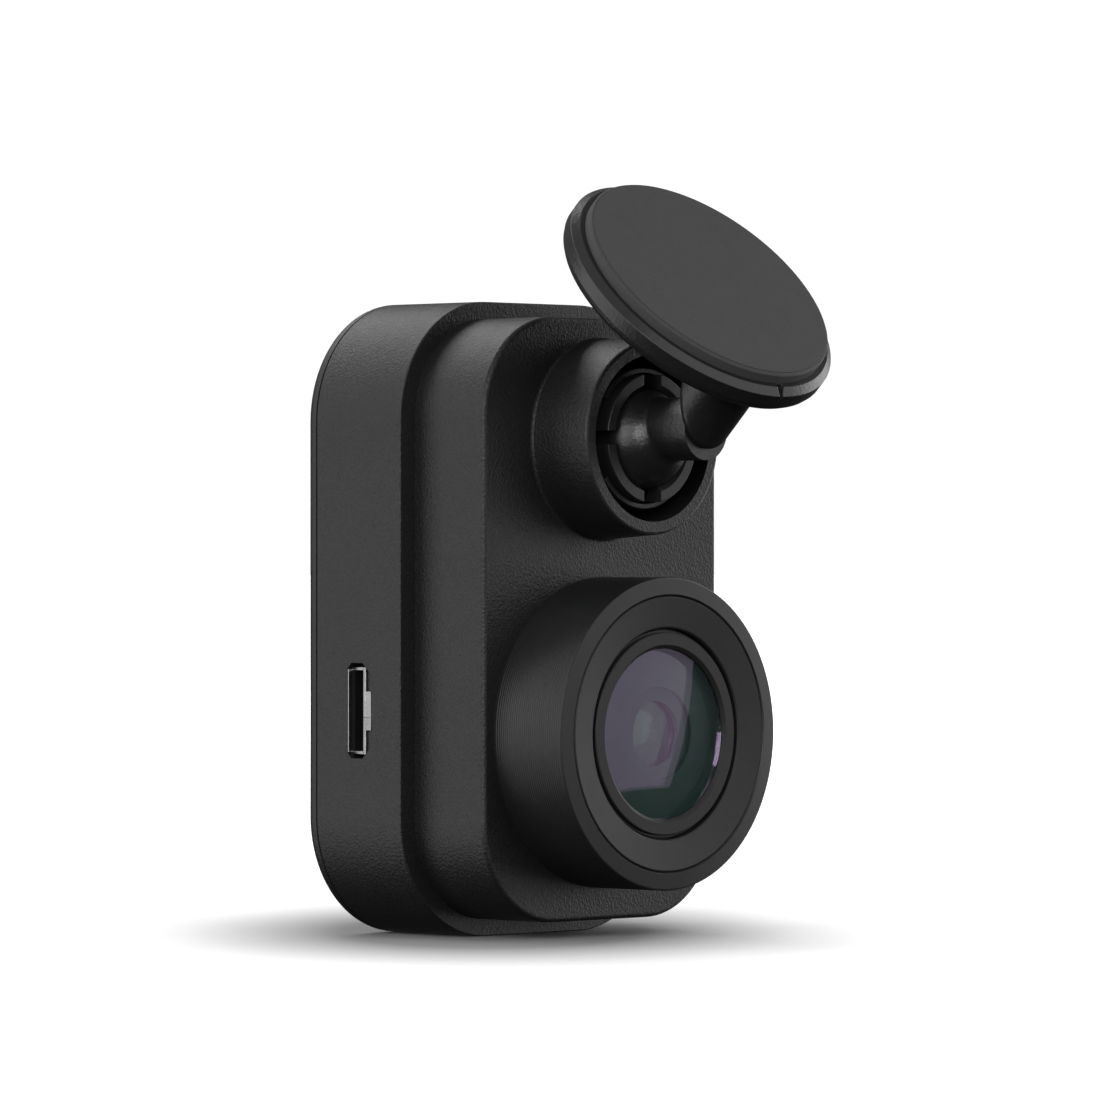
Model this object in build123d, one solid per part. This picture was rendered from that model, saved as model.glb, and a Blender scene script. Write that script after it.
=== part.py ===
from build123d import *
from math import radians, sin, sqrt, tan
import os

os.makedirs("parts", exist_ok=True)

# A small windscreen camera on a ball mount, in millimetres, +Z up, lens towards -Y.
# Everything is drawn in camera coordinates: X = 0 is the middle, Y = 0 the rear outline and
# Z = 0 the underside of the body. save() then moves it, so that the origin of the part is
# the centre of the adhesive face that holds it on the glass.

# ---- driving dimensions ----
BODY_W = 31.4
BODY_H = 52.8
BODY_R = 10.0
SEAM_REAR = -0.70          # front edge of the rear cover
SEAM_FRONT = -0.84         # rear edge of the main housing
STEP_Y = -10.64            # step face between main and front housing
FACE_Y = -18.59            # front face
FRONT_W = 28.0
FRONT_H = 49.94
FRONT_R = 8.25
WALL = 1.5
REAR_FLAT = 0.46           # flat back of the rear cover
REAR_ROUND = 0.8

LENS_Z = 17.0
BARREL_R = 12.9
LENS_FRONT = -26.34
RING_DROP = 0.14           # the front ring slopes back towards its outer edge
BEZEL_R = 11.39
BEZEL_IN_R = 8.73
RING_R = 8.35
GLASS_R = 7.06

BOSS_Z = 41.35
BOSS_BASE_R = 8.35
BOSS_RIM_R = 7.97
BOSS_RIM = -24.44
WELL_R = 6.89
WELL_FLOOR = -17.40

BALL_R = 4.25
BALL_Y = -22.70
NECK_R = 2.60
NECK_RISE = 0.72           # neck axis above the centre of the ball
NECK_FILLET = 0.6
STEM_EDGE = 0.7            # rounding of the stem's cut-off end
STEM_R = 3.10
STEM_CUT = BALL_Y - 7.23   # vertical cut plane at the rear of the stem
STEM_RISE = 2.45           # stem axis above the ball where it meets that plane
STEM_LENGTH = 8.17         # along the stem, from that plane to the adhesive face
PLATE_SHIFT = 6.82         # plate centre above the stem axis
PLATE_R = 12.46
PAD_R = 11.39
PAD_THICK = 0.97

BOARD_REAR = -3.2
BOARD_FRONT = -4.2
USB_Z = 18.84
USB_DEPTH = 0.55           # shell mouth behind the outer wall
CARD_Z = 24.5
SCREW_X = 10.5
SCREW_Z = (5.2, BODY_H - 5.2)
SENSOR_SCREW = (8.6, 6.4)
MID_Z = BODY_H / 2
S45 = sqrt(0.5)

PAD_POINT = Vector(
    0,
    STEM_CUT + S45 * (PLATE_SHIFT - STEM_LENGTH),
    BOSS_Z + STEM_RISE + S45 * (PLATE_SHIFT + STEM_LENGTH),
)


# ---- helpers ----
def save(node, shape):
    """Write one sub-part, moved so that the adhesive face is the origin."""
    export_step(shape.moved(Location(-PAD_POINT)), f"parts/{node}.step")


def outline(width, height, radius):
    """Rounded rectangle in the X-Z plane, centred on the body."""
    return Pos(0, MID_Z) * RectangleRounded(width, height, radius)


def slab(sketch, y_rear, y_front):
    """Solid of an X-Z sketch between two Y planes."""
    return extrude(Plane.XZ.offset(-y_rear) * sketch, amount=y_rear - y_front)


def disc(x, z, radius, y_rear, y_front):
    """Round solid along Y."""
    return slab(Pos(x, z) * Circle(radius), y_rear, y_front)


def block(x_span, y_span, z_span):
    """Box from three spans, each given as its two ends in either order."""
    size = [abs(b - a) for a, b in (x_span, y_span, z_span)]
    centre = [(a + b) / 2 for a, b in (x_span, y_span, z_span)]
    return Pos(*centre) * Box(*size)


def turned(points, z):
    """Solid of revolution about the Y-parallel axis at height z, from (radius, y) points."""
    face = make_face(Polyline(*points, close=True))
    return revolve(Pos(0, 0, z) * face, axis=Axis((0, 0, z), (0, 1, 0)))


def ball_at(radius):
    """Sphere about the centre of the ball joint."""
    return Pos(0, BALL_Y, BOSS_Z) * Sphere(radius)


def side_slab(sketch, x_low, x_high):
    """Solid of a Y-Z sketch between two X planes."""
    return extrude(Plane.YZ.offset(x_low) * sketch, amount=x_high - x_low)


def edges_at(shape, y):
    """Edges that lie in the plane Y = y."""
    return shape.edges().filter_by_position(Axis.Y, y - 0.01, y + 0.01)


def screw(x, z, y_head, head_r, head_h, shank_r, length):
    """Pan-head screw along Y with a cross recess, driven from the rear."""
    body = disc(x, z, head_r, y_head, y_head - head_h)
    body += disc(x, z, shank_r, y_head - head_h, y_head - head_h - length)
    arm, width, depth = head_r * 0.6, head_r * 0.22, head_h * 0.55
    spans = (y_head - depth, y_head)
    body -= block((x - arm, x + arm), spans, (z - width, z + width))
    return body - block((x - width, x + width), spans, (z - arm, z + arm))


# ---- outer shell ----
BUTTON_Z = 31.0
BUTTON_R = 5.6
LED_X = (-4.5, 0.0, 4.5)
LED_Z = 43.8
MIC_X = -9.5
MIC_Z = 39.0
SPEAKER_Z = 11.0
SIDE_BUTTON = (-6.2, 36.5)    # centre (y, z) of the button in the +X wall
USB_SPAN = (-7.27, -4.40)
USB_HALF = 3.95
USB_BAR = (-6.53, -6.13)      # rolled front lip of the port shell
USB_LEDGE = 0.30              # step of the housing round the lip's centre tab
CARD_W = 11.0
CARD_SLOT = (-5.75, -4.55)
THUMB_R = 6.0                 # finger hollow over the card slot
THUMB_RISE = 5.2


def rear_cover():
    """Back plate with a rounded edge, a locating lip, screw wells and openings."""
    plate = slab(outline(BODY_W, BODY_H, BODY_R), REAR_FLAT, SEAM_REAR)
    plate = fillet(edges_at(plate, REAR_FLAT), REAR_ROUND)
    lip = outline(28.2, 49.6, 8.4) - outline(26.2, 47.6, 7.4)
    plate += slab(lip, SEAM_REAR, -1.8)
    inside = slab(outline(28.2, 49.6, 8.4), SEAM_REAR, -1.8)
    for x in (-SCREW_X, SCREW_X):
        for z in SCREW_Z:
            plate += inside & disc(x, z, 2.5, SEAM_REAR, -1.8)
            plate -= disc(x, z, 1.65, REAR_FLAT, -0.6)
            plate -= disc(x, z, 0.95, -0.6, -1.8)
    plate -= disc(0, BUTTON_Z, BUTTON_R + 0.15, REAR_FLAT, SEAM_REAR)
    for x in LED_X:
        plate -= disc(x, LED_Z, 0.85, REAR_FLAT, SEAM_REAR)
    plate -= disc(MIC_X, MIC_Z, 0.45, REAR_FLAT, SEAM_REAR)
    for row in range(-2, 3):
        slot = Pos(0, SPEAKER_Z + row * 1.7) * SlotOverall(8.4 - abs(row) * 1.2, 0.7)
        plate -= slab(slot, REAR_FLAT, SEAM_REAR)
    return plate


def usb_outline(front):
    """Mouth of the micro-B port in Y-Z, cut off at the plane y = front on its front side."""
    rear = USB_SPAN[1]
    slope = 0.92
    low = USB_HALF - slope * (USB_SPAN[0] + 1.1 - front)
    points = [
        (rear, USB_HALF - 0.5),
        (rear - 0.5, USB_HALF),
        (USB_SPAN[0] + 1.1, USB_HALF),
        (front, low),
        (front, -low),
        (USB_SPAN[0] + 1.1, -USB_HALF),
        (rear - 0.5, -USB_HALF),
        (rear, 0.5 - USB_HALF),
    ]
    return Pos(0, USB_Z) * make_face(Polyline(*points, close=True))


def main_housing():
    """Middle shell: a ring with a front wall, the port, the card slot and the side button."""
    shell = slab(outline(BODY_W, BODY_H, BODY_R), SEAM_FRONT, STEP_Y)
    shell = fillet(edges_at(shell, STEP_Y), 0.12)
    cavity = outline(BODY_W - 2 * WALL, BODY_H - 2 * WALL, BODY_R - WALL)
    shell -= slab(cavity, SEAM_FRONT, STEP_Y + WALL)
    shell -= slab(outline(26.4, 48.34, 7.45), STEP_Y + WALL, STEP_Y)
    for x in (-SCREW_X, SCREW_X):
        for z in SCREW_Z:
            shell += disc(x, z, 2.1, -1.9, -8.5)
            shell -= disc(x, z, 0.62, -1.9, -7.0)
    wall_x = -BODY_W / 2
    shell -= side_slab(usb_outline(USB_BAR[0]), wall_x - 1, wall_x + WALL)
    shell -= side_slab(usb_outline(USB_SPAN[0]), wall_x - 1, wall_x + USB_LEDGE)
    for side in (-1, 1):
        slit = (USB_Z + side * 1.9, USB_Z + side * 2.75)
        shell -= block((wall_x, wall_x + 1.1), (USB_SPAN[0], USB_SPAN[0] + 0.12), slit)
    slot_y = sum(CARD_SLOT) / 2
    slot = Pos(slot_y, CARD_Z) * RectangleRounded(CARD_SLOT[1] - CARD_SLOT[0], CARD_W + 0.5, 0.3)
    shell -= side_slab(slot, BODY_W / 2 - WALL, BODY_W / 2 + 1)
    shell -= Pos(BODY_W / 2 + THUMB_RISE, slot_y, CARD_Z) * Sphere(THUMB_R)
    button = Pos(*SIDE_BUTTON) * SlotOverall(8.3, 3.3, rotation=90)
    return shell - side_slab(button, BODY_W / 2 - WALL, BODY_W / 2 + 1)


def front_housing():
    """Stepped front shell with the tapered mount boss and the hole for the lens barrel."""
    shell = slab(outline(FRONT_W, FRONT_H, FRONT_R), STEP_Y, FACE_Y)
    shell = fillet(edges_at(shell, FACE_Y), 0.4)
    shell += slab(outline(26.2, 48.14, 7.35), STEP_Y + 2.0, STEP_Y)
    shell -= slab(outline(25.2, 47.14, 6.85), STEP_Y - 1.4, FACE_Y + 1.6)
    shell -= slab(outline(24.2, 46.14, 6.35), STEP_Y + 2.0, STEP_Y - 1.4)
    shell += disc(0, BOSS_Z, 8.3, WELL_FLOOR + 1.0, FACE_Y + 0.5)
    boss = [
        (0, FACE_Y + 0.5),
        (BOSS_BASE_R + 0.20, FACE_Y + 0.5),
        (BOSS_BASE_R + 0.20, FACE_Y),
        (BOSS_BASE_R + 0.06, FACE_Y - 0.06),
        (BOSS_BASE_R, FACE_Y - 0.20),
        (BOSS_RIM_R + 0.01, BOSS_RIM + 0.22),
        (BOSS_RIM_R - 0.07, BOSS_RIM + 0.07),
        (BOSS_RIM_R - 0.22, BOSS_RIM),
        (0, BOSS_RIM),
    ]
    shell += turned(boss, BOSS_Z)
    shell -= disc(0, BOSS_Z, WELL_R, WELL_FLOOR, BOSS_RIM)
    shell -= disc(0, LENS_Z, 11.6, FACE_Y + 1.6, FACE_Y)
    inner = outline(25.2, 47.14, 6.85)
    keep = slab(inner, STEP_Y, FACE_Y + 1.6)
    x, z = SENSOR_SCREW
    for side in (-x, x):
        shell += keep & disc(side, z, 1.7, -12.95, FACE_Y + 1.6)
        shell -= disc(side, z, 0.55, -12.95, -16.0)
    return shell


def seam_gasket():
    """Thin black gasket, set back in the seam between cover and housing."""
    ring = outline(BODY_W - 0.5, BODY_H - 0.5, BODY_R - 0.25)
    return slab(ring - outline(28.5, 49.9, 8.55), SEAM_REAR, SEAM_FRONT)


# ---- buttons, lights and sound ----
def save_button():
    """Round rear button: dished cap, retaining flange and a stem over its switch."""
    cap = disc(0, BUTTON_Z, BUTTON_R, REAR_FLAT + 0.7, -0.75)
    cap = fillet(edges_at(cap, REAR_FLAT + 0.7), 0.3)
    dish = Pos(0, REAR_FLAT + 30.4, BUTTON_Z) * Sphere(30.0)
    cap -= dish
    cap += disc(0, BUTTON_Z, BUTTON_R + 0.9, -0.75, -1.15)
    return cap + disc(0, BUTTON_Z, 1.0, -1.15, -1.75)


def tact_switch(x, z, y_rear):
    """Square switch with a short round plunger that faces the rear."""
    body = block((x - 2.0, x + 2.0), (BOARD_REAR, y_rear), (z - 2.0, z + 2.0))
    return body + disc(x, z, 0.9, y_rear + 0.25, y_rear)


def mute_button():
    """Long side button in the +X wall with a flange behind the wall."""
    y, z = SIDE_BUTTON
    inner, outer = BODY_W / 2 - WALL - 0.05, BODY_W / 2 + 0.5
    cap = side_slab(Pos(y, z) * SlotOverall(8.0, 3.0, rotation=90), inner, outer)
    cap = fillet(cap.edges().filter_by_position(Axis.X, outer - 0.01, outer + 0.01), 0.3)
    flange = Pos(y, z) * SlotOverall(9.6, 3.6, rotation=90)
    cap += side_slab(flange, inner - 0.4, inner)
    return cap + block((inner - 0.85, inner - 0.4), (y - 0.6, y + 0.6), (z - 1.2, z + 1.2))


def mute_switch():
    """Side-acting switch on the front of the main board."""
    y, z = SIDE_BUTTON
    body = block((9.6, 12.2), (y - 1.0, BOARD_FRONT), (z - 2.2, z + 2.2))
    return body + block((12.2, 12.9), (y - 0.5, y + 0.5), (z - 1.0, z + 1.0))


def light_pipes():
    """Three clear pins that carry the status lights to the back."""
    pins = [disc(x, LED_Z, 0.8, REAR_FLAT, -2.4) for x in LED_X]
    bridge = block((-5.3, 5.3), (-1.5, -1.1), (LED_Z - 0.5, LED_Z + 0.5))
    return fillet(edges_at(bridge + pins, REAR_FLAT), 0.15)


def status_leds():
    """Three small light emitters on the rear of the board."""
    spans = [(x - 0.8, x + 0.8) for x in LED_X]
    return Compound([block(s, (BOARD_REAR, -2.55), (LED_Z - 0.4, LED_Z + 0.4)) for s in spans])


def speaker():
    """Thin round speaker behind the grille slots."""
    body = disc(0, SPEAKER_Z, 5.6, -1.0, -3.1)
    body -= disc(0, SPEAKER_Z, 4.8, -1.0, -1.25)
    rear = [(4.8, -1.25), (4.2, -1.25), (1.4, -1.6), (0, -1.6)]
    front = [(0, -1.9), (1.5, -1.9), (4.3, -1.5), (4.8, -1.5)]
    return body - disc(0, SPEAKER_Z, 4.8, -1.25, -1.9) + turned(front + rear, SPEAKER_Z)


def microphone():
    """Small metal-can microphone behind its hole."""
    return block((MIC_X - 1.4, MIC_X + 1.4), (BOARD_REAR, -2.1), (MIC_Z - 1.9, MIC_Z + 1.9))


def microphone_gasket():
    """Soft ring between the microphone and the cover."""
    return disc(MIC_X, MIC_Z, 1.3, SEAM_REAR, -2.1) - disc(MIC_X, MIC_Z, 0.6, SEAM_REAR, -2.1)


# ---- lens ----
def lens_barrel():
    """Round barrel with fine grooves round its side, a front ring and a spigot."""
    grooves, pitch, depth = 30, 0.238, 0.035
    side = [(BARREL_R, FACE_Y)]
    for i in range(grooves):
        y = FACE_Y - 0.30 - i * pitch
        side += [(BARREL_R, y), (BARREL_R - depth, y - 0.07), (BARREL_R, y - 0.14)]
    profile = [(10.2, -16.0), (11.5, -16.0), (11.5, FACE_Y)] + side
    profile += [
        (BARREL_R, LENS_FRONT + RING_DROP + 0.14),
        (BARREL_R - 0.04, LENS_FRONT + RING_DROP + 0.04),
        (BARREL_R - 0.14, LENS_FRONT + RING_DROP),
        (BEZEL_R + 0.12, LENS_FRONT),
        (BEZEL_R, LENS_FRONT + 0.12),
        (BEZEL_R, -25.0),
        (9.6, -25.0),
        (9.6, -23.4),
        (10.2, -23.0),
    ]
    return turned(profile, LENS_Z)


def lens_bezel():
    """Shallow cone between the front ring and the lens cell."""
    outer = BEZEL_R - 0.06
    profile = [
        (BEZEL_IN_R, -25.02),
        (outer, -25.02),
        (outer, LENS_FRONT + 0.10),
        (outer - 0.10, LENS_FRONT + 0.02),
        (BEZEL_IN_R + 0.12, LENS_FRONT + 0.43),
        (BEZEL_IN_R, LENS_FRONT + 0.52),
    ]
    return turned(profile, LENS_Z)


CELL_FRONT = LENS_FRONT + 0.86
CELL_REAR = -14.6
BAFFLE_REAR = -23.74


def lens_cell():
    """Stepped tube that holds the lens elements."""
    profile = [
        (8.55, CELL_FRONT),
        (8.55, -24.9),
        (9.5, -24.9),
        (9.5, -23.6),
        (8.55, -23.6),
        (8.55, -20.0),
        (7.0, -18.8),
        (7.0, CELL_REAR),
        (4.4, CELL_REAR),
        (4.4, -16.6),
        (4.9, -16.6),
        (4.9, -19.5),
        (3.0, -19.5),
        (3.0, -21.5),
        (5.1, -21.5),
        (5.1, BAFFLE_REAR + 0.02),
        (7.5, BAFFLE_REAR + 0.02),
        (7.5, CELL_FRONT),
    ]
    return turned(profile, LENS_Z)


def lens_baffle():
    """Black spacer behind the front glass: a shallow cone, a step and the light opening."""
    profile = [
        (2.65, BAFFLE_REAR),
        (2.65, -24.04),
        (3.80, -24.12),
        (3.80, -24.42),
        (6.85, -24.14),
        (7.45, -24.14),
        (7.45, BAFFLE_REAR),
    ]
    return turned(profile, LENS_Z)


def retaining_ring():
    """Thin ring over the front glass, with two spanner notches and a bevelled bore."""
    front = LENS_FRONT + 0.47
    profile = [
        (GLASS_R + 0.35, CELL_FRONT),
        (RING_R, CELL_FRONT),
        (RING_R, front + 0.08),
        (RING_R - 0.08, front),
        (GLASS_R + 0.28, front),
        (GLASS_R, front + 0.22),
        (GLASS_R, CELL_FRONT - 0.06),
        (GLASS_R + 0.35, CELL_FRONT - 0.06),
    ]
    return turned(profile, LENS_Z)


def lens(radius, y_front, y_rear, front_curve, rear_curve):
    """Round lens element; a curve radius > 0 bulges outwards, < 0 is hollow."""
    body = disc(0, LENS_Z, radius, y_rear, y_front)
    if front_curve > 0:
        body &= Pos(0, y_front + front_curve, LENS_Z) * Sphere(front_curve)
    else:
        sag = -front_curve - sqrt(front_curve**2 - radius**2)
        body -= Pos(0, y_front + sag + front_curve, LENS_Z) * Sphere(-front_curve)
    if rear_curve > 0:
        body &= Pos(0, y_rear - rear_curve, LENS_Z) * Sphere(rear_curve)
    else:
        sag = -rear_curve - sqrt(rear_curve**2 - (radius * 0.93) ** 2)
        body -= Pos(0, y_rear - sag - rear_curve, LENS_Z) * Sphere(-rear_curve)
    return body


def aperture_stop():
    """Blackened washer that sets the light opening."""
    return disc(0, LENS_Z, 4.85, -17.9, -18.1) - disc(0, LENS_Z, 1.4, -17.9, -18.1)


def lens_holder():
    """Square foot that carries the lens cell over the image sensor."""
    foot = block((-8.5, 8.5), (-12.9, -14.5), (LENS_Z - 8.5, LENS_Z + 8.5))
    foot = fillet(foot.edges().filter_by(Axis.Y), 1.2)
    foot += disc(0, LENS_Z, 8.3, -14.5, -17.6)
    foot -= disc(0, LENS_Z, 7.05, CELL_REAR, -17.6)
    return foot - block((-5.4, 5.4), (-12.9, CELL_REAR), (LENS_Z - 5.4, LENS_Z + 5.4))


def sensor_board():
    """Small board behind the lens, with its two fixing holes."""
    board = slab(Pos(0, LENS_Z - 0.6) * RectangleRounded(22.0, 24.4, 3.5), -12.0, -12.9)
    x, z = SENSOR_SCREW
    for side in (-x, x):
        board -= disc(side, z, 0.8, -12.0, -12.9)
    return board


def sensor_flex():
    """Folded ribbon from the sensor board to the main board."""
    width, top, thick = (-9.6, -3.6), 30.3, 0.15
    ribbon = block(width, (-11.98, -11.98 + thick), (24.0, top))
    ribbon += block(width, (-11.98, BOARD_FRONT - 0.03), (top - thick, top))
    return ribbon + block(width, (BOARD_FRONT - 0.03 - thick, BOARD_FRONT - 0.03), (25.5, top))


# ---- electronics ----
def main_board():
    """Main circuit board, notched round the screw pillars."""
    board = slab(outline(27.6, 49.0, 8.1), BOARD_REAR, BOARD_FRONT)
    for x in (-SCREW_X, SCREW_X):
        for z in SCREW_Z:
            board -= disc(x, z, 2.35, BOARD_REAR, BOARD_FRONT)
    return board


def board_chips():
    """Processor, memory and power parts on the front of the main board."""
    spots = [
        ((-11.5, -2.5), (31.0, 40.0), 1.1),
        ((-0.5, 7.0), (33.0, 42.0), 1.0),
        ((-8.0, -4.0), (42.0, 46.0), 0.9),
        ((-8.0, -3.5), (10.5, 14.0), 1.2),
        ((-8.0, -3.0), (5.0, 9.0), 1.4),
        ((2.0, 5.5), (5.0, 8.5), 1.8),
    ]
    return Compound([block(x, (BOARD_FRONT - h, BOARD_FRONT), z) for x, z, h in spots])


def heat_pad():
    """Soft pad that takes heat from the processor to the spreader plate."""
    return block((-11.0, -3.0), (-7.3, BOARD_FRONT - 1.1), (31.5, 39.5))


def heat_spreader():
    """Bent aluminium plate on the front side of the heat pad."""
    plate = block((-11.6, 7.4), (-8.0, -7.3), (31.2, 44.0))
    return fillet(plate.edges().filter_by(Axis.Y), 1.0)


def backup_cell():
    """Flat pouch cell behind the mount boss."""
    cell = block((-9.0, 9.0), (-15.6, -10.9), (32.0, 47.0))
    return fillet(cell.edges(), 0.9)


def card_socket():
    """Low metal socket that holds the memory card, open towards +X."""
    body = block((-1.6, 13.9), (-6.05, BOARD_FRONT), (CARD_Z - 6.9, CARD_Z + 6.9))
    return body - block((-0.9, 13.9), (-5.80, -4.45), (CARD_Z - 5.75, CARD_Z + 5.75))


def memory_card():
    """Memory card with its stepped front edge and finger ridge."""
    outer = BODY_W / 2 - 0.45
    low, high = CARD_Z - CARD_W / 2, CARD_Z + CARD_W / 2
    card = block((outer - 15.0, outer), (-5.50, -4.80), (low, high))
    card -= block((outer - 15.0, outer - 8.7), (-5.50, -4.80), (high - 1.3, high))
    card -= block((outer - 7.6, outer - 6.3), (-5.50, -4.80), (high - 0.7, high))
    return card + block((outer - 1.3, outer), (-5.68, -5.50), (low + 0.5, high - 0.5))


def usb_shell():
    """Formed metal shell of the micro-B socket: rear lip, rolled front lip and centre tab."""
    wall_x = -BODY_W / 2
    mouth = wall_x + USB_DEPTH
    rear, bar_in = USB_SPAN[1], USB_BAR[1]
    high = USB_HALF - 0.35
    shell = block((mouth, mouth + 5.1), (rear - 0.02, USB_BAR[0] + 0.02), (USB_Z - high, USB_Z + high))
    shell &= side_slab(usb_outline(USB_BAR[0]), wall_x, mouth + 5.1)
    shell -= block((mouth, mouth + 4.8), (rear - 0.14, bar_in), (USB_Z - high + 0.25, USB_Z + high - 0.25))
    shell += block((wall_x + 0.04, mouth), (rear - 0.02, rear - 0.14), (USB_Z - 3.44, USB_Z + 3.44))
    bar = block((wall_x + 0.05, mouth), (USB_BAR[0] + 0.02, bar_in), (USB_Z - high, USB_Z + high))
    ridge = bar.edges().filter_by(Axis.Z).filter_by_position(Axis.X, wall_x, wall_x + 0.1)
    shell += fillet(ridge, 0.17)
    tab_y = (USB_SPAN[0] + 0.22, USB_BAR[0] + 0.1)
    tab = block((wall_x + 0.14, wall_x + USB_LEDGE), tab_y, (USB_Z - 1.6, USB_Z + 1.6))
    seam_z = USB_Z - 0.56
    seam = block((wall_x, wall_x + 0.2), (USB_SPAN[0], bar_in), (seam_z - 0.03, seam_z + 0.03))
    return shell + tab - seam


def usb_tongue():
    """Dark plastic insert of the socket: contact tongue, rear lining and back wall."""
    mouth = -BODY_W / 2 + USB_DEPTH
    tongue = block((mouth + 1.0, mouth + 4.78), (-5.55, -4.95), (USB_Z - 1.85, USB_Z + 1.85))
    high = (USB_Z - 3.3, USB_Z + 3.3)
    lining = block((mouth + 0.02, mouth + 4.78), (USB_SPAN[1] - 0.15, USB_SPAN[1] - 0.30), high)
    return lining + tongue + block((mouth + 4.4, mouth + 4.78), (-4.60, -6.0), high)


def usb_contacts():
    """Five contact strips on the tongue."""
    mouth = -BODY_W / 2 + USB_DEPTH
    heights = [USB_Z + i * 0.65 for i in range(-2, 3)]
    strips = [block((mouth + 1.2, mouth + 4.38), (-5.62, -5.55), (z - 0.16, z + 0.16)) for z in heights]
    return Compound(strips)


def case_screws():
    """Four screws that hold the rear cover."""
    return Compound([screw(x, z, 0.1, 1.4, 0.7, 0.6, 4.8) for x in (-SCREW_X, SCREW_X) for z in SCREW_Z])


def sensor_screws():
    """Two screws through the sensor board."""
    x, z = SENSOR_SCREW
    return Compound([screw(side, z, -11.3, 1.2, 0.7, 0.53, 3.2) for side in (-x, x)])


# ---- ball joint ----
def ball_collet():
    """Slotted ring of fingers round the ball, on a flange at the bottom of the well."""
    face = BOSS_RIM + 0.075
    profile = [
        (0, WELL_FLOOR),
        (6.75, WELL_FLOOR),
        (6.75, -18.3),
        (5.36, -18.9),
        (5.36, face + 0.05),
        (5.31, face),
        (4.48, face),
        (4.10, BALL_Y - 1.15),
        (0, BALL_Y - 1.15),
    ]
    body = turned(profile, BOSS_Z)
    front_half = disc(0, BOSS_Z, 6.0, BALL_Y + 0.05, BALL_Y - 1.2)
    rear_half = disc(0, BOSS_Z, 6.0, BALL_Y + 5.0, BALL_Y + 0.05)
    body -= ball_at(BALL_R + 0.03) & front_half
    body -= ball_at(4.80) & rear_half
    body -= disc(0, BOSS_Z, 4.10, BALL_Y - 1.1, BALL_Y - 1.2)
    for width, tall in ((2.1, True), (1.15, False)):
        x_half, z_half = (width / 2, 6.0) if tall else (6.0, width / 2)
        body -= block((-x_half, x_half), (face, -19.6), (BOSS_Z - z_half, BOSS_Z + z_half))
    return body


def collet_sleeve():
    """Crown-shaped sleeve that presses the fingers in; open at both sides."""
    front, rear, outer, reach = BOSS_RIM + 1.0, -18.95, 5.86, 8.0
    sleeve = disc(0, BOSS_Z, outer, rear, front)
    sleeve = fillet(edges_at(sleeve, front), 0.12) - disc(0, BOSS_Z, 5.42, rear, front)
    half = reach * tan(radians(35.6))
    for side in (-reach, reach):
        gap = make_face(Polyline((0, 0), (side, -half), (side, half), close=True))
        sleeve -= slab(Pos(0, BOSS_Z) * gap, rear - 0.8, front)
    return sleeve


def cap_shell(inner, outer, half_angle, hole_angle):
    """Part of a hollow sphere behind the ball, about the Y axis."""
    shell = ball_at(outer) - ball_at(inner)
    reach = 8.0
    cone_r = reach * tan(radians(half_angle))
    cone = turned([(0, BALL_Y), (cone_r, BALL_Y + reach), (0, BALL_Y + reach)], BOSS_Z)
    shell &= cone
    return shell - disc(0, BOSS_Z, outer * sin(radians(hole_angle)), BALL_Y + reach, BALL_Y)


def plate_frame():
    """Plane of the adhesive face, facing up and forwards."""
    return Plane(origin=PAD_POINT, x_dir=(1, 0, 0), z_dir=(0, -S45, S45))


def plate_turned(points, y=0):
    """Solid of revolution about the plate's own axis, from (radius, height) points."""
    face = make_face(Polyline(*points, close=True))
    return Pos(0, y) * revolve(Plane.XZ * face, axis=Axis.Z)


def mount_plate():
    """Round plate with a chamfered front rim, a rounded back and a notch at its lowest point."""
    top, rim = -PAD_THICK, PLATE_R
    profile = [
        (0, top),
        (PAD_R + 0.46, top),
        (rim, top - 0.50),
        (rim, top - 1.58),
        (rim - 0.16, top - 1.98),
        (rim - 0.40, top - 2.27),
        (rim - 0.78, top - 2.48),
        (rim - 1.40, top - 2.64),
        (rim - 2.30, top - 2.72),
        (0, top - 2.72),
    ]
    notch = make_face(Polyline((-0.42, 0.1), (0.42, 0.1), (0, -1.02), close=True))
    groove = Pos(0, -PAD_R - 0.10, top) * extrude(Plane.XZ * notch, amount=2.0)
    return plate_turned(profile) - groove


def mount_stem():
    """Slanted round stem with a small flare where it meets the plate."""
    root, reach = -PAD_THICK - 2.72, 14.5
    foot = (Align.CENTER, Align.CENTER, Align.MIN)
    stem = Pos(0, -PLATE_SHIFT, -reach) * Cylinder(STEM_R, reach + root + 0.5, align=foot)
    flare = [
        (0, root + 0.05),
        (STEM_R + 0.7, root + 0.05),
        (STEM_R + 0.25, root - 0.2),
        (STEM_R, root - 0.7),
        (0, root - 0.7),
    ]
    return stem + plate_turned(flare, -PLATE_SHIFT)


def mount_arm():
    """Plate, slanted stem, neck and ball, moulded as one piece."""
    head = plate_frame().location * (mount_plate() + mount_stem())
    head -= block((-8, 8), (STEM_CUT, STEM_CUT + 13), (BOSS_Z - 13, BOSS_Z + 7.5))
    head = fillet(edges_at(head, STEM_CUT), STEM_EDGE)
    neck = disc(0, BOSS_Z + NECK_RISE, NECK_R, BALL_Y, STEM_CUT - 0.4)
    knob = ball_at(BALL_R) + neck
    knob = fillet(knob.edges().filter_by_position(Axis.Y, STEM_CUT + 2.0, BALL_Y - 1.0), NECK_FILLET)
    return head + knob


def adhesive_pad():
    """Round adhesive pad on the plate, with a slightly smaller face film."""
    profile = [
        (0, 0),
        (PAD_R - 0.28, 0),
        (PAD_R - 0.28, -0.07),
        (PAD_R - 0.12, -0.10),
        (PAD_R, -0.22),
        (PAD_R + 0.02, -PAD_THICK),
        (0, -PAD_THICK),
    ]
    return plate_frame().location * plate_turned(profile)


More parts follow.
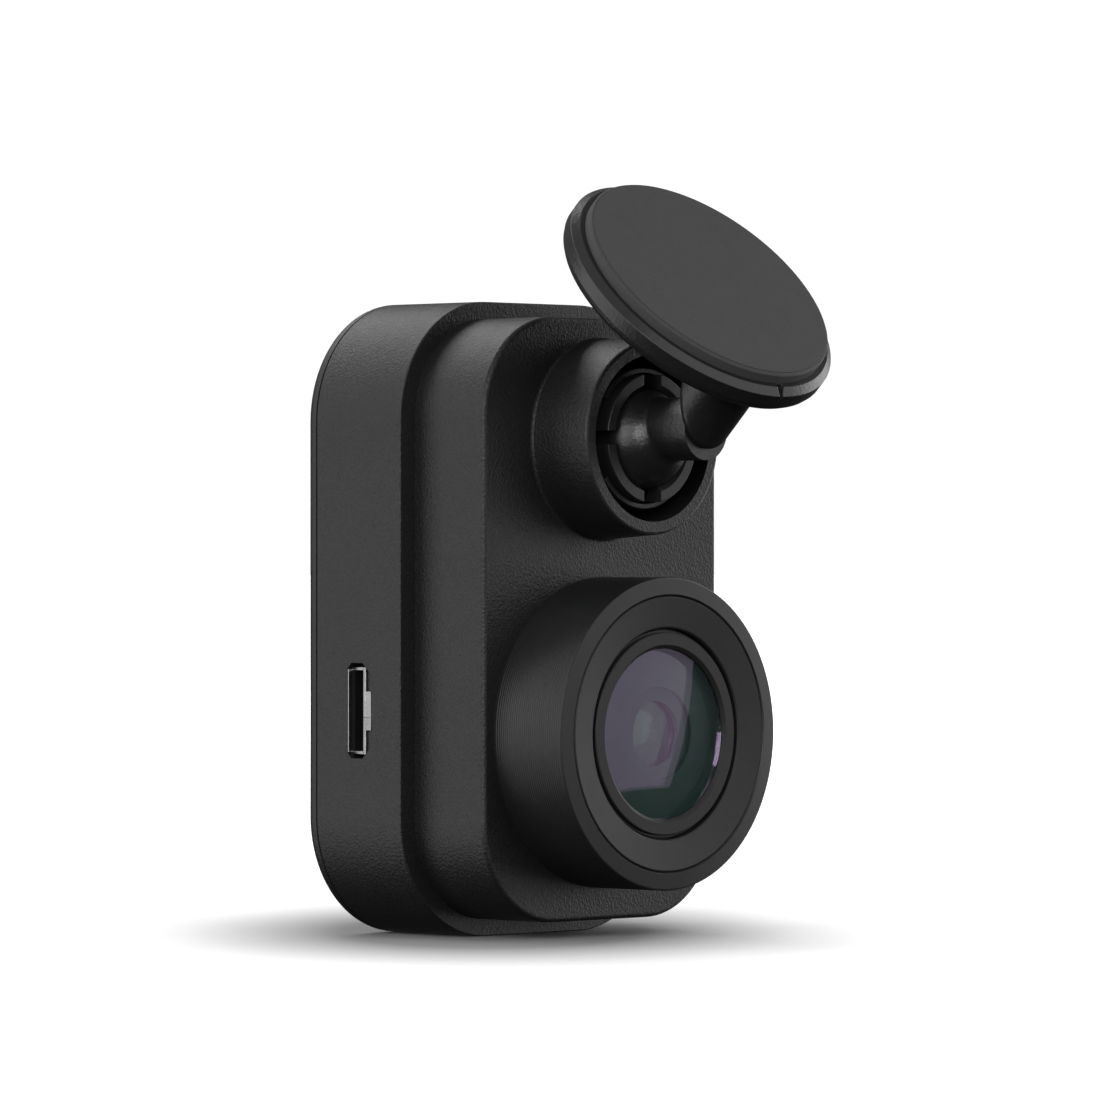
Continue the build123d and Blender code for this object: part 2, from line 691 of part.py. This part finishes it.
# ---- write every node ----
NODES = {
    "mount_arm": mount_arm(),
    "adhesive_pad": adhesive_pad(),
    "ball_seat_cup": cap_shell(BALL_R + 0.04, 4.46, 40, 8),
    "ball_spring_cup": cap_shell(4.54, 4.74, 38, 14),
    "ball_collet": ball_collet(),
    "collet_sleeve": collet_sleeve(),
    "front_housing": front_housing(),
    "main_housing": main_housing(),
    "rear_cover": rear_cover(),
    "seam_gasket": seam_gasket(),
    "lens_barrel": lens_barrel(),
    "lens_bezel": lens_bezel(),
    "lens_cell": lens_cell(),
    "retaining_ring": retaining_ring(),
    "front_glass": lens(7.4, -26.04, -24.2, 48.0, -46.0),
    "lens_baffle": lens_baffle(),
    "lens_element_2": lens(5.05, -23.70, -21.55, 30.0, -12.0),
    "lens_element_3": lens(4.85, -19.45, -18.15, 14.0, 30.0),
    "lens_element_4": lens(4.85, -17.85, -16.65, 20.0, 12.0),
    "aperture_stop": aperture_stop(),
    "infrared_filter": block((-4.2, 4.2), (-14.4, -14.1), (LENS_Z - 4.2, LENS_Z + 4.2)),
    "image_sensor": block((-4.6, 4.6), (-13.8, -12.9), (LENS_Z - 4.6, LENS_Z + 4.6)),
    "lens_holder": lens_holder(),
    "sensor_board": sensor_board(),
    "sensor_screws": sensor_screws(),
    "sensor_flex": sensor_flex(),
    "main_board": main_board(),
    "board_chips": board_chips(),
    "heat_pad": heat_pad(),
    "heat_spreader": heat_spreader(),
    "backup_cell": backup_cell(),
    "speaker": speaker(),
    "microphone": microphone(),
    "microphone_gasket": microphone_gasket(),
    "status_leds": status_leds(),
    "light_pipes": light_pipes(),
    "save_button": save_button(),
    "save_switch": tact_switch(0, BUTTON_Z, -2.4),
    "mute_button": mute_button(),
    "mute_switch": mute_switch(),
    "usb_shell": usb_shell(),
    "usb_tongue": usb_tongue(),
    "usb_contacts": usb_contacts(),
    "card_socket": card_socket(),
    "memory_card": memory_card(),
    "case_screws": case_screws(),
}

for node, shape in NODES.items():
    save(node, shape)
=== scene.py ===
import math

import bpy
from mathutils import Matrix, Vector


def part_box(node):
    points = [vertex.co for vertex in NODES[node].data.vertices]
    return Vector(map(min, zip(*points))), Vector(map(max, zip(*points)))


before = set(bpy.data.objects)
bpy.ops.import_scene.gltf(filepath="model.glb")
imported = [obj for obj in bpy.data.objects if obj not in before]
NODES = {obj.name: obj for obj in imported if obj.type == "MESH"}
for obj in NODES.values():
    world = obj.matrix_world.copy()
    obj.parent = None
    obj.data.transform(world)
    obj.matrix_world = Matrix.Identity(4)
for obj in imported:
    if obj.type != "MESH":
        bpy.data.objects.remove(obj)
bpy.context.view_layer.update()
MM = 0.001


# ---- node helpers ----
class Surface:
    """A procedural material round one Principled shader, in the object's own metres."""

    def __init__(self, name):
        self.material = bpy.data.materials.new(name)
        self.material.use_nodes = True
        self.tree = self.material.node_tree
        self.shader = self.tree.nodes["Principled BSDF"]
        self.place = self.node("ShaderNodeTexCoord").outputs["Object"]

    def node(self, kind, **settings):
        made = self.tree.nodes.new(kind)
        for key, value in settings.items():
            setattr(made, key, value)
        return made

    def link(self, source, target):
        if isinstance(target, str):
            target = self.shader.inputs[target]
        self.tree.links.new(source, target)

    def put(self, **values):
        """Sets plain values on the shader's own sockets; _ in a name stands for a space."""
        for key, value in values.items():
            self.shader.inputs[key.replace("_", " ")].default_value = value

    def stretch(self, scale):
        """Object coordinates scaled per axis, for streaks."""
        mapping = self.node("ShaderNodeMapping")
        mapping.inputs["Scale"].default_value = scale
        self.link(self.place, mapping.inputs["Vector"])
        return mapping.outputs["Vector"]

    def noise(self, size, detail=2.0, rough=0.5, where=None):
        """Noise from 0 to 1 whose blotches measure about size metres."""
        made = self.node("ShaderNodeTexNoise")
        made.inputs["Scale"].default_value = 1.0 / size
        made.inputs["Detail"].default_value = detail
        made.inputs["Roughness"].default_value = rough
        self.link(where or self.place, made.inputs["Vector"])
        return made.outputs["Fac"]

    def cells(self, size):
        """Distance in a cell pattern whose cells measure about size metres."""
        made = self.node("ShaderNodeTexVoronoi")
        made.inputs["Scale"].default_value = 1.0 / size
        self.link(self.place, made.inputs["Vector"])
        return made.outputs["Distance"]

    def spread(self, value, low, high, from_low=0.0, from_high=1.0):
        """Moves a value from one range to another, clamped."""
        made = self.node("ShaderNodeMapRange")
        limits = {"From Min": from_low, "From Max": from_high, "To Min": low, "To Max": high}
        for socket, number in limits.items():
            made.inputs[socket].default_value = number
        self.link(value, made.inputs["Value"])
        return made.outputs["Result"]

    def maths(self, operation, a, b):
        """A sum or product of two outputs, or of an output and a number."""
        made = self.node("ShaderNodeMath", operation=operation)
        for socket, value in zip(made.inputs, (a, b)):
            if isinstance(value, float):
                socket.default_value = value
            else:
                self.link(value, socket)
        return made.outputs["Value"]

    def blend(self, amount, first, second):
        """Colour between two colours or outputs."""
        made = self.node("ShaderNodeMix", data_type="RGBA")
        sockets = [s for s in made.inputs if s.type == "RGBA"]
        for socket, value in zip(sockets, (first, second)):
            if isinstance(value, tuple):
                socket.default_value = (*value, 1.0)
            else:
                self.link(value, socket)
        self.link(amount, made.inputs[0])
        return [s for s in made.outputs if s.type == "RGBA"][0]

    def rounded(self, radius):
        """Normal with its edges rounded off over radius metres."""
        made = self.node("ShaderNodeBevel", samples=6)
        made.inputs["Radius"].default_value = radius
        return made.outputs["Normal"]

    def edges(self, radius):
        """1 on sharp edges, 0 on plain faces."""
        dot = self.node("ShaderNodeVectorMath", operation="DOT_PRODUCT")
        self.link(self.rounded(radius), dot.inputs[0])
        self.link(self.node("ShaderNodeNewGeometry").outputs["Normal"], dot.inputs[1])
        return self.spread(dot.outputs["Value"], 1.0, 0.0, 0.80, 0.995)

    def bump(self, height, depth, normal=None):
        """Normal of a surface whose height varies by depth metres."""
        made = self.node("ShaderNodeBump")
        made.inputs["Distance"].default_value = depth
        self.link(height, made.inputs["Height"])
        if normal is not None:
            self.link(normal, made.inputs["Normal"])
        return made.outputs["Normal"]


def grey(level, tint=(1.0, 1.0, 1.0)):
    """A grey of the given level, with an optional slight tint."""
    return tuple(level * t for t in tint)


# ---- materials ----
COOL = (0.97, 0.99, 1.03)           # tint of the moulded black plastics
WARM = (1.02, 1.0, 0.98)            # tint of the anodised blacks


def moulded(name, tone, rough, grain, depth, edge=0.08 * MM, gloss=0.5):
    """Moulded black plastic: spark-eroded grain, a slow change of gloss, softened edges, and a
    painted highlight that lightens the colour along edges.
    """
    s = Surface(name)
    slow = s.noise(9.0 * MM, 3.0, 0.6)
    fine = s.noise(grain * 4.0, 3.0, 0.7)
    colour = s.blend(slow, grey(tone * 0.86, COOL), grey(tone * 1.12, COOL))
    colour = s.blend(s.spread(fine, 0.0, 0.5, 0.45, 0.75), colour, grey(tone * 1.5, COOL))
    # painted highlight: the colour is lighter along sharp edges
    colour = s.blend(s.maths("MULTIPLY", s.edges(edge * 1.5), 0.6), colour, grey(tone * 1.6, COOL))
    s.link(colour, "Base Color")
    dust = s.noise(2.6 * MM, 4.0, 0.65)
    gleam = s.spread(slow, rough - 0.05, rough + 0.04)
    s.link(s.maths("ADD", gleam, s.spread(dust, -0.03, 0.05)), "Roughness")
    s.put(Specular_IOR_Level=gloss)
    pits = s.maths("ADD", s.noise(grain, 2.0, 0.6), s.maths("MULTIPLY", s.cells(grain * 1.9), 0.8))
    s.link(s.bump(pits, depth, s.rounded(edge)), "Normal")
    return s.material


def foam_pad(name):
    """Dull acrylic foam with a fine closed-cell skin."""
    s = Surface(name)
    slow, fine = s.noise(6.0 * MM, 3.0), s.noise(0.25 * MM, 3.0, 0.7)
    colour = s.blend(slow, grey(0.050), grey(0.058))
    s.link(s.blend(s.spread(fine, 0.0, 0.6, 0.5, 0.8), colour, grey(0.080)), "Base Color")
    s.link(s.spread(s.noise(1.5 * MM, 3.0), 0.62, 0.78), "Roughness")
    s.put(Specular_IOR_Level=0.4, Sheen_Weight=0.04, Sheen_Roughness=0.6)
    s.link(s.bump(s.noise(0.18 * MM, 2.0, 0.6), 0.008 * MM, s.rounded(0.05 * MM)), "Normal")
    return s.material


def anodised(name, tone, rough, tint=WARM):
    """Black anodised aluminium with faint turning marks, and a painted highlight that lightens the
    colour along edges.
    """
    s = Surface(name)
    turn = s.noise(0.3 * MM, 3.0, 0.6, s.stretch((1.0, 18.0, 1.0)))
    colour = s.blend(turn, grey(tone * 0.85, tint), grey(tone * 1.15, tint))
    # painted highlight: the colour is lighter along sharp edges
    s.link(s.blend(s.edges(0.06 * MM), colour, grey(tone * 1.8, tint)), "Base Color")
    s.link(s.spread(s.noise(1.2 * MM, 3.0), rough - 0.05, rough + 0.06), "Roughness")
    s.put(Specular_IOR_Level=0.42)
    s.link(s.bump(s.noise(0.06 * MM, 2.0), 0.002 * MM, s.rounded(0.05 * MM)), "Normal")
    return s.material


def metal(name, colour, rough, streak=(1.0, 1.0, 14.0), dull=0.6):
    """Sheet metal with drawn streaks, faint stains and softened edges."""
    s = Surface(name)
    lines = s.noise(0.5 * MM, 4.0, 0.6, s.stretch(streak))
    stain = s.noise(2.2 * MM, 4.0, 0.6)
    base = s.blend(s.spread(stain, 0.0, 1.0, 0.35, 0.75), colour, tuple(c * dull for c in colour))
    s.link(base, "Base Color")
    gleam = s.spread(lines, rough - 0.08, rough + 0.10)
    s.link(s.maths("ADD", gleam, s.spread(stain, -0.04, 0.08)), "Roughness")
    s.put(Metallic=1.0)
    s.link(s.bump(lines, 0.004 * MM, s.rounded(0.04 * MM)), "Normal")
    return s.material


def coated_glass(name, tint, rough, specular=0.6):
    """Lens glass with a coloured anti-reflection coating and a trace of dust."""
    base = (0.93, 0.95, 0.94)
    s = Surface(name)
    dust = s.noise(0.12 * MM, 2.0, 0.7)
    s.link(s.spread(dust, rough, rough + 0.02, 0.62, 0.85), "Roughness")
    s.link(s.blend(s.noise(4.0 * MM), base, tuple(c * 0.97 for c in base)), "Base Color")
    s.put(Transmission_Weight=1.0, IOR=1.52, Specular_IOR_Level=specular)
    s.put(Specular_Tint=(*tint, 1.0))
    return s.material


def clear_resin(name):
    """Frosted clear polycarbonate."""
    s = Surface(name)
    s.link(s.blend(s.noise(1.0 * MM), (0.80, 0.83, 0.85), (0.70, 0.73, 0.76)), "Base Color")
    s.link(s.spread(s.noise(0.2 * MM, 3.0), 0.25, 0.45), "Roughness")
    s.put(Transmission_Weight=0.85, IOR=1.58)
    s.link(s.bump(s.noise(0.1 * MM), 0.004 * MM), "Normal")
    return s.material


def soft_rubber(name, tone, rough=0.7):
    """Matt rubber or moulding compound with a faint skin."""
    s = Surface(name)
    s.put(Specular_IOR_Level=0.2)
    s.link(s.blend(s.noise(0.8 * MM, 3.0), grey(tone * 0.8), grey(tone * 1.3)), "Base Color")
    s.link(s.spread(s.noise(0.5 * MM, 3.0), rough - 0.08, rough + 0.08), "Roughness")
    s.link(s.bump(s.noise(0.1 * MM, 3.0, 0.7), 0.008 * MM, s.rounded(0.05 * MM)), "Normal")
    return s.material


def circuit_board(name):
    """Green solder mask over copper runs and pads."""
    s = Surface(name)
    runs = s.node("ShaderNodeTexBrick")
    runs.inputs["Scale"].default_value = 260.0
    runs.inputs["Mortar Size"].default_value = 0.035
    s.link(s.stretch((1.0, 1.0, 2.2)), runs.inputs["Vector"])
    copper = s.spread(runs.outputs["Fac"], 0.0, 1.0, 0.2, 0.8)
    green = s.blend(s.noise(3.0 * MM), (0.008, 0.070, 0.035), (0.012, 0.090, 0.045))
    s.link(s.blend(copper, green, (0.03, 0.16, 0.07)), "Base Color")
    s.link(s.spread(s.noise(0.6 * MM), 0.22, 0.38), "Roughness")
    s.put(Coat_Weight=0.3, Coat_Roughness=0.2)
    s.link(s.bump(copper, 0.02 * MM), "Normal")
    return s.material


def glossy_film(name, colour, rough=0.3):
    """Smooth plastic film with slow ripples."""
    s = Surface(name)
    s.link(s.blend(s.noise(1.5 * MM, 3.0), colour, tuple(c * 0.75 for c in colour)), "Base Color")
    s.link(s.spread(s.noise(0.8 * MM, 3.0), rough - 0.08, rough + 0.1), "Roughness")
    s.link(s.bump(s.noise(0.7 * MM, 2.0), 0.01 * MM, s.rounded(0.04 * MM)), "Normal")
    return s.material


def lit_phosphor(name):
    """Yellow phosphor grains over a light emitting chip."""
    s = Surface(name)
    s.link(s.blend(s.cells(0.15 * MM), (0.85, 0.78, 0.42), (0.93, 0.90, 0.62)), "Base Color")
    s.link(s.spread(s.noise(0.1 * MM), 0.3, 0.5), "Roughness")
    s.link(s.bump(s.noise(0.08 * MM), 0.004 * MM), "Normal")
    return s.material


MATERIALS = {
    "shell_plastic": moulded("shell_plastic", 0.0115, 0.40, 0.13 * MM, 0.034 * MM, edge=0.05 * MM),
    "cover_plastic": moulded("cover_plastic", 0.0115, 0.40, 0.13 * MM, 0.030 * MM, edge=0.03 * MM),
    "arm_plastic": moulded("arm_plastic", 0.0130, 0.31, 0.20 * MM, 0.016 * MM, gloss=0.7),
    "pad_adhesive": foam_pad("pad_adhesive"),
    "collet_plastic": moulded("collet_plastic", 0.0150, 0.42, 0.12 * MM, 0.008 * MM, edge=0.08 * MM),
    "barrel_plastic": moulded("barrel_plastic", 0.0115, 0.42, 0.08 * MM, 0.004 * MM, edge=0.03 * MM),
    "bezel_plastic": moulded("bezel_plastic", 0.0140, 0.52, 0.07 * MM, 0.004 * MM, edge=0.04 * MM),
    "button_plastic": moulded("button_plastic", 0.0170, 0.40, 0.10 * MM, 0.006 * MM),
    "card_plastic": moulded("card_plastic", 0.0160, 0.36, 0.08 * MM, 0.003 * MM, edge=0.03 * MM),
    "lens_black": anodised("lens_black", 0.014, 0.50),
    "lens_glass": coated_glass("lens_glass", (0.55, 1.0, 0.82), 0.02),
    "rubber_black": soft_rubber("rubber_black", 0.004),
    "board_mask": circuit_board("board_mask"),
    "chip_black": soft_rubber("chip_black", 0.010, 0.55),
    "heat_gap": soft_rubber("heat_gap", 0.35, 0.6),
    "spreader_alloy": metal("spreader_alloy", (0.72, 0.73, 0.74), 0.35),
    "cell_foil": metal("cell_foil", (0.66, 0.67, 0.69), 0.30, (1.0, 1.0, 1.0)),
    "tin_steel": metal("tin_steel", (0.36, 0.36, 0.37), 0.30, dull=0.8),
    "black_steel": metal("black_steel", (0.10, 0.10, 0.11), 0.36, (1.0, 1.0, 1.0)),
    "spring_steel": metal("spring_steel", (0.55, 0.55, 0.57), 0.30),
    "contact_gold": metal("contact_gold", (0.86, 0.64, 0.28), 0.25, dull=0.85),
    "flex_amber": glossy_film("flex_amber", (0.42, 0.19, 0.03)),
    "clear_plastic": clear_resin("clear_plastic"),
    "led_white": lit_phosphor("led_white"),
}
FRONT_COATING = coated_glass("front_coating", (0.82, 0.52, 1.0), 0.0, 0.60)
# painted reflection: the black baffle is coloured a lighter green, standing in for the green
# reflection off the coated front glass
BAFFLE_GREEN_REFLECTION = anodised("baffle_painted_reflection", 0.072, 0.50, (0.30, 1.0, 0.82))

for piece in NODES.values():
    for slot in piece.material_slots:
        slot.material = MATERIALS[slot.material.name.split(".")[0]]
NODES["front_glass"].material_slots[0].material = FRONT_COATING
# the baffle carries the painted green reflection
NODES["lens_baffle"].material_slots[0].material = BAFFLE_GREEN_REFLECTION


# the soft gasket swells out of its groove, almost flush with the walls
SWELL = 0.18 * MM
swell = NODES["seam_gasket"].modifiers.new("swell", "DISPLACE")
swell.mid_level = 0.0
swell.strength = SWELL


# ---- camera ----
BODY_LOW, BODY_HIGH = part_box("main_housing")
BODY_MID = (BODY_LOW + BODY_HIGH) / 2
COVER_FLAT = 0.46 * MM      # how far the cover's flat back lies behind its outline
VIEW_ANGLE = math.radians(-46.037)
VIEW_RANGE = 0.585
VIEW_LENS = 225.49          # millimetres on a 36 mm sensor
VIEW_RIGHT, VIEW_UP = 9.065 * MM, 5.738 * MM

back = Vector((math.sin(VIEW_ANGLE), -math.cos(VIEW_ANGLE), 0.0))
right = Vector((math.cos(VIEW_ANGLE), math.sin(VIEW_ANGLE), 0.0))
aim = Vector((0.0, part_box("rear_cover")[1].y - COVER_FLAT, BODY_MID.z))
lens = bpy.data.cameras.new("view")
lens.sensor_width = 36.0
lens.lens = VIEW_LENS
lens.clip_start, lens.clip_end = 0.02, 60.0
camera = bpy.data.objects.new("view", lens)
camera.location = aim + back * VIEW_RANGE + right * VIEW_RIGHT + Vector((0, 0, VIEW_UP))
camera.rotation_euler = (-back).to_track_quat("-Z", "Y").to_euler()
bpy.context.scene.collection.objects.link(camera)
bpy.context.scene.camera = camera
bpy.context.scene.view_settings.view_transform = "Standard"


# ---- studio ----
FLOOR_Z = BODY_LOW.z
FLOOR_NEAR, FLOOR_FAR = 0.62, 0.90      # painted glow of the paper round the object and far off; missing under the object, it adds to the painted shadow
PAINTED_SHADOW_NEAR, PAINTED_SHADOW_FAR = 12 * MM, 26 * MM    # where the painted shadow on the paper under the object turns pale
GLOW_NEAR, GLOW_FAR = (13 * MM, 35 * MM), (37 * MM, 400 * MM)   # where its painted glow rises in two steps
PAINTED_SHADOW_LENGTH = 1.9          # the painted contact shadow is longer along the view than across it
FLOOR_HALF = 6.0
BACKDROP = 1.05             # just past white, seen by the camera only
SKY_GAIN = 0.38
# height on the sky from straight down (0) to straight up (1), level
SKY_RAMP = [(0.0, 0.02), (0.30, 0.04), (0.52, 0.30), (0.75, 0.42), (1.0, 0.35)]
GLASS_LOW, GLASS_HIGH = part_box("front_glass")
LENS_POINT = Vector((BODY_MID.x, GLASS_LOW.y, (GLASS_LOW.z + GLASS_HIGH.z) / 2))
# name, azimuth and elevation seen from the lens (degrees), distance, width, height (metres),
# radiance, own elevation of its face (None: towards the lens), sideways offset (metres)
LIGHTS = [
    ("window_light", 15, 14.0, 0.689, 1.02, 0.86, 0.80, 36, 0.107),
    ("right_light", 84, 8, 1.10, 0.72, 0.90, 2.10, None, 0.0),
    ("rear_left_light", -131, 4, 1.10, 0.90, 1.45, 1.16, None, 0.0),
    ("rear_top_light", 180, 46, 1.10, 1.10, 0.42, 2.60, None, 0.0),
    ("left_light", -80, 10, 1.20, 0.60, 0.90, 2.40, None, 0.0),
    ("edge_light", -46, 14, 1.00, 0.22, 0.55, 7.0, None, 0.0),
    ("top_light", -20, 78, 1.10, 1.00, 1.00, 0.25, None, 0.0),
]


def heading(azimuth, elevation):
    """Direction from the object: azimuth 0 is towards -Y, 90 towards +X."""
    a, e = math.radians(azimuth), math.radians(elevation)
    return Vector((math.sin(a) * math.cos(e), -math.cos(a) * math.cos(e), math.sin(e)))


def panel(name, azimuth, elevation, distance, width, height, radiance, lean, aside):
    """Rectangular soft light that faces the lens, or leans at its own angle."""
    data = bpy.data.lights.new(name, "AREA")
    data.shape = "RECTANGLE"
    data.size, data.size_y = width, height
    data.energy = radiance * math.pi * width * height
    made = bpy.data.objects.new(name, data)
    towards = heading(azimuth, elevation)
    made.location = LENS_POINT + towards * distance + heading(azimuth + 90, 0) * aside
    facing = towards if lean is None else heading(azimuth, lean)
    made.rotation_euler = facing.to_track_quat("Z", "Y").to_euler()
    made.visible_camera = False
    bpy.context.scene.collection.objects.link(made)


def make_floor():
    """Pale sweep under the object, with a painted contact shadow: a darker colour and less glow in
    an oval round it.
    """
    mesh = bpy.data.meshes.new("floor")
    turns = [(-1, -1), (1, -1), (1, 1), (-1, 1)]
    corners = [(x * FLOOR_HALF, y * FLOOR_HALF, FLOOR_Z) for x, y in turns]
    mesh.from_pydata(corners, [], [(0, 1, 2, 3)])
    floor = bpy.data.objects.new("floor", mesh)
    bpy.context.scene.collection.objects.link(floor)
    s = Surface("floor_paper")
    oval = s.node("ShaderNodeMapping", vector_type="TEXTURE")
    oval.inputs["Location"].default_value = (BODY_MID.x, BODY_MID.y, FLOOR_Z)
    oval.inputs["Rotation"].default_value = (0.0, 0.0, VIEW_ANGLE)
    oval.inputs["Scale"].default_value = (1.0, PAINTED_SHADOW_LENGTH, 1.0)
    s.link(s.place, oval.inputs["Vector"])
    away = s.node("ShaderNodeVectorMath", operation="LENGTH")
    s.link(oval.outputs["Vector"], away.inputs[0])
    away = away.outputs["Value"]
    paper = s.blend(s.noise(40 * MM), (0.92, 0.92, 0.92), (0.94, 0.94, 0.94))
    # painted shadow: the paper's colour turns grey towards the object
    painted_shadow_fade = s.spread(away, 0.0, 1.0, PAINTED_SHADOW_NEAR, PAINTED_SHADOW_FAR)
    s.link(s.blend(painted_shadow_fade, grey(0.50), paper), "Base Color")
    # painted light: the paper glows, less towards the object
    near = s.spread(away, 0.0, FLOOR_NEAR, *GLOW_NEAR)
    far = s.spread(away, 0.0, FLOOR_FAR, *GLOW_FAR)
    s.link(s.maths("ADD", near, far), "Emission Strength")
    s.put(Roughness=0.9, Specular_IOR_Level=0.1, Emission_Color=(1.0, 1.0, 1.0, 1.0))
    mesh.materials.append(s.material)
    floor.visible_glossy = False
    floor.visible_diffuse = False
    floor.visible_transmission = False
    floor.visible_shadow = False


def make_world():
    """White backdrop; the light it gives fades towards the ground."""
    world = bpy.data.worlds.new("studio")
    bpy.context.scene.world = world
    world.use_nodes = True
    tree = world.node_tree
    make = tree.nodes.new
    output, plain = tree.nodes["World Output"], tree.nodes["Background"]
    plain.inputs["Color"].default_value = (1, 1, 1, 1)
    plain.inputs["Strength"].default_value = BACKDROP
    sky = make("ShaderNodeBackground")
    split = make("ShaderNodeSeparateXYZ")
    ramp = make("ShaderNodeValToRGB")
    reach = make("ShaderNodeMapRange")
    reach.inputs["From Min"].default_value = -1.0
    tree.links.new(make("ShaderNodeTexCoord").outputs["Generated"], split.inputs["Vector"])
    tree.links.new(split.outputs["Z"], reach.inputs["Value"])
    tree.links.new(reach.outputs["Result"], ramp.inputs["Fac"])
    stops = ramp.color_ramp.elements
    stops.remove(stops[1])
    stops[0].position = SKY_RAMP[0][0]
    stops[0].color = (*grey(SKY_RAMP[0][1]), 1)
    for position, level in SKY_RAMP[1:]:
        stops.new(position).color = (*grey(level), 1)
    tree.links.new(ramp.outputs["Color"], sky.inputs["Color"])
    sky.inputs["Strength"].default_value = SKY_GAIN
    mix = make("ShaderNodeMixShader")
    tree.links.new(make("ShaderNodeLightPath").outputs["Is Camera Ray"], mix.inputs["Fac"])
    tree.links.new(sky.outputs["Background"], mix.inputs[1])
    tree.links.new(plain.outputs["Background"], mix.inputs[2])
    tree.links.new(mix.outputs["Shader"], output.inputs["Surface"])


make_floor()
make_world()
for light in LIGHTS:
    panel(*light)
